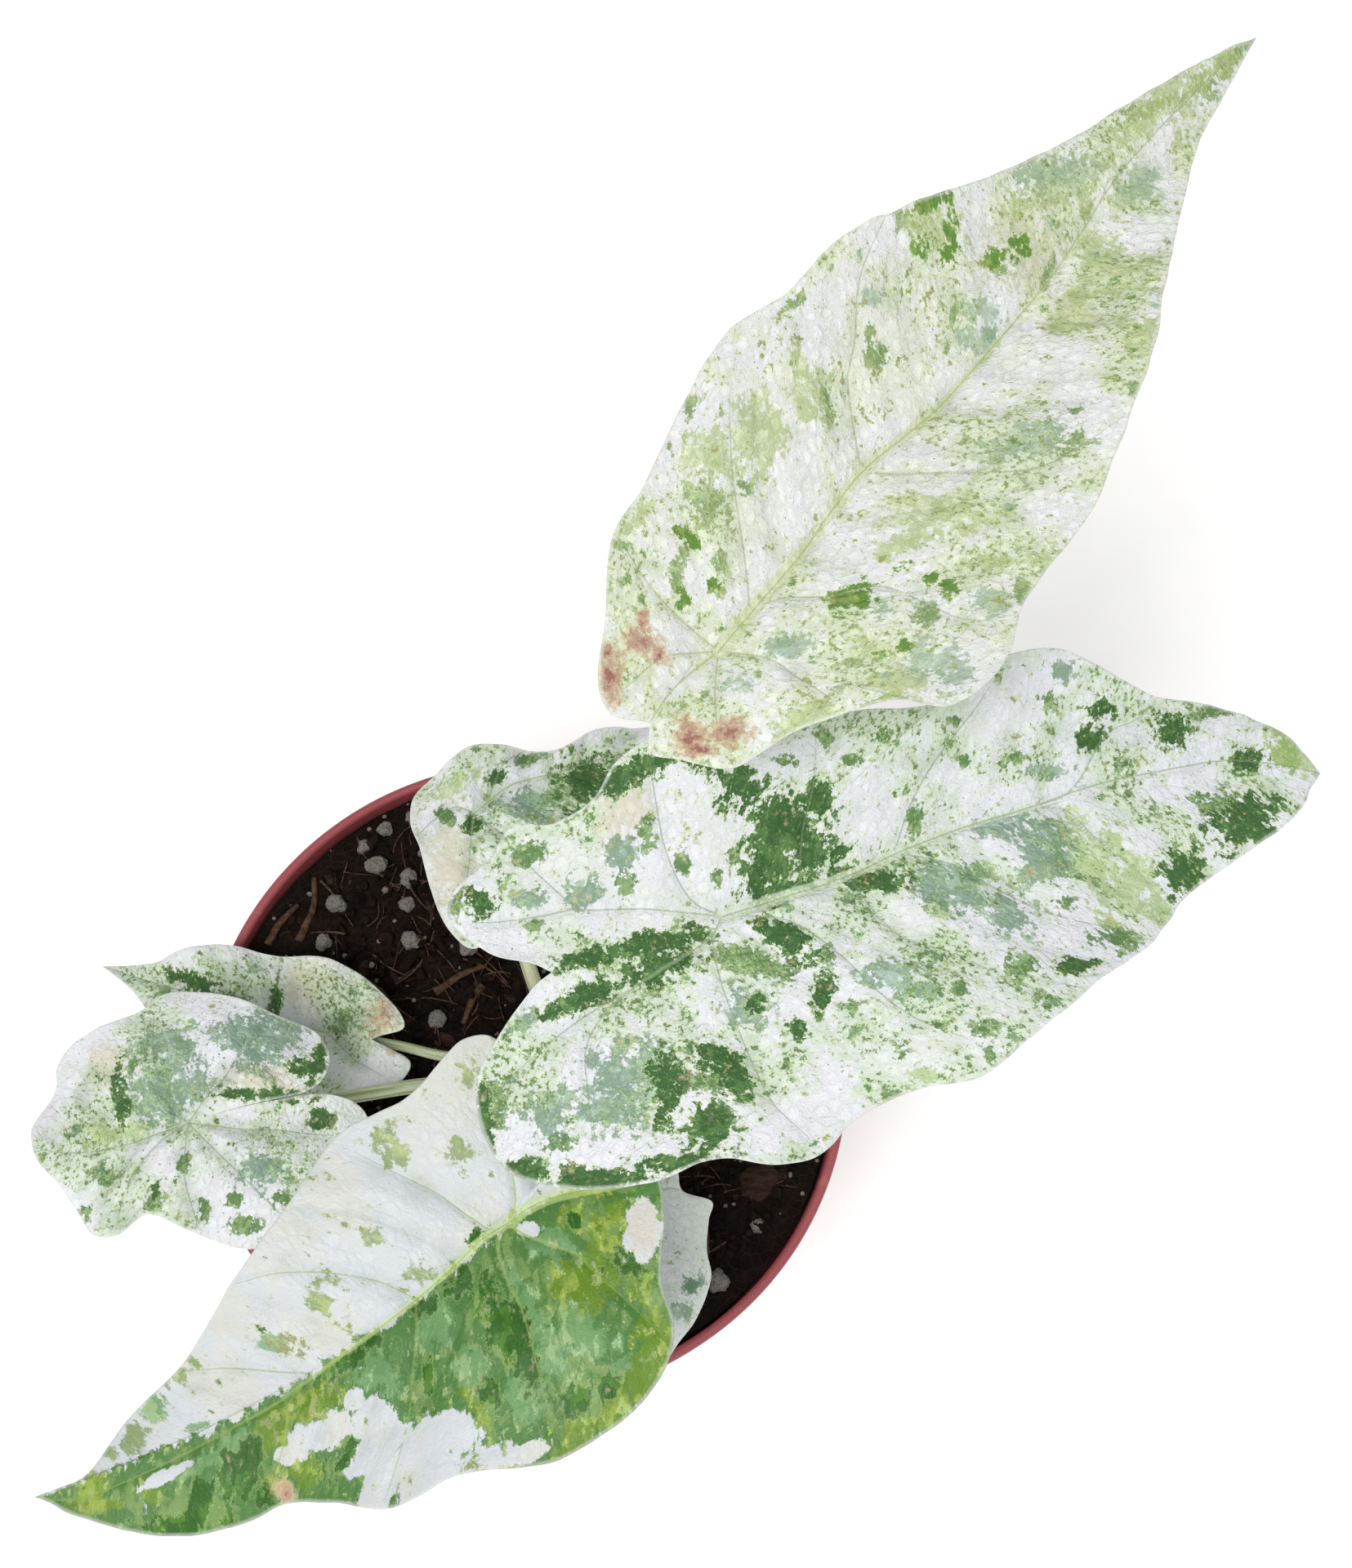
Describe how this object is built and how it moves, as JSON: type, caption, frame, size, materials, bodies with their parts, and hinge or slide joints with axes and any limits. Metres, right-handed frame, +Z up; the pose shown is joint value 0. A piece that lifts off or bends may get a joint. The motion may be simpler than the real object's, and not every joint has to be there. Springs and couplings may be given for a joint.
{
  "type": "potted batik alocasia odora",
  "caption": "Young variegated elephant ear plant with white and green marbled heart-shaped leaves on long stalks, growing in a round tapered nursery pot.",
  "frame": {"origin": "middle of the pot's flat base", "axes": "+Z up, +X towards the right of the picture, +Y towards its top"},
  "size_m": [0.2096, 0.208, 0.2416],
  "materials": {
    "pot_plastic": "matt brick-red moulded plastic",
    "potting_mix": "moist dark peat and coir mix",
    "crown_skin": "satin green stem with papery brown sheaths",
    "petiole_skin": "satin pale green stalk",
    "blade_cream": "satin cream leaf with light green marbling",
    "blade_white": "satin white leaf with dark green speckles and patches",
    "blade_half_green": "satin leaf, one half white and the other green",
    "perlite": "matt white mineral grain",
    "bark": "rough brown bark chip",
    "root_fibre": "dry brown root fibre"
  },
  "bodies": {
    "root": {"pot": "pot_plastic", "soil": "potting_mix", "crown": "crown_skin", "petiole_1": "petiole_skin", "petiole_2": "petiole_skin", "petiole_3": "petiole_skin", "petiole_4": "petiole_skin", "petiole_5": "petiole_skin", "petiole_6": "petiole_skin", "petiole_7": "petiole_skin", "blade_1": "blade_cream", "blade_2": "blade_white", "blade_3": "blade_half_green", "blade_4": "blade_white", "blade_5": "blade_white", "blade_6": "blade_white", "blade_7": "blade_white", "perlite_1": "perlite", "perlite_2": "perlite", "perlite_3": "perlite", "perlite_4": "perlite", "perlite_5": "perlite", "perlite_6": "perlite", "perlite_7": "perlite", "perlite_8": "perlite", "perlite_9": "perlite", "perlite_10": "perlite", "perlite_11": "perlite", "perlite_12": "perlite", "perlite_13": "perlite", "perlite_14": "perlite", "perlite_15": "perlite", "perlite_16": "perlite", "bark_1": "bark", "bark_2": "bark", "bark_3": "bark", "bark_4": "bark", "bark_5": "bark", "fibre_1": "root_fibre", "fibre_2": "root_fibre", "fibre_3": "root_fibre", "fibre_4": "root_fibre", "fibre_5": "root_fibre"}
  },
  "joints": []
}
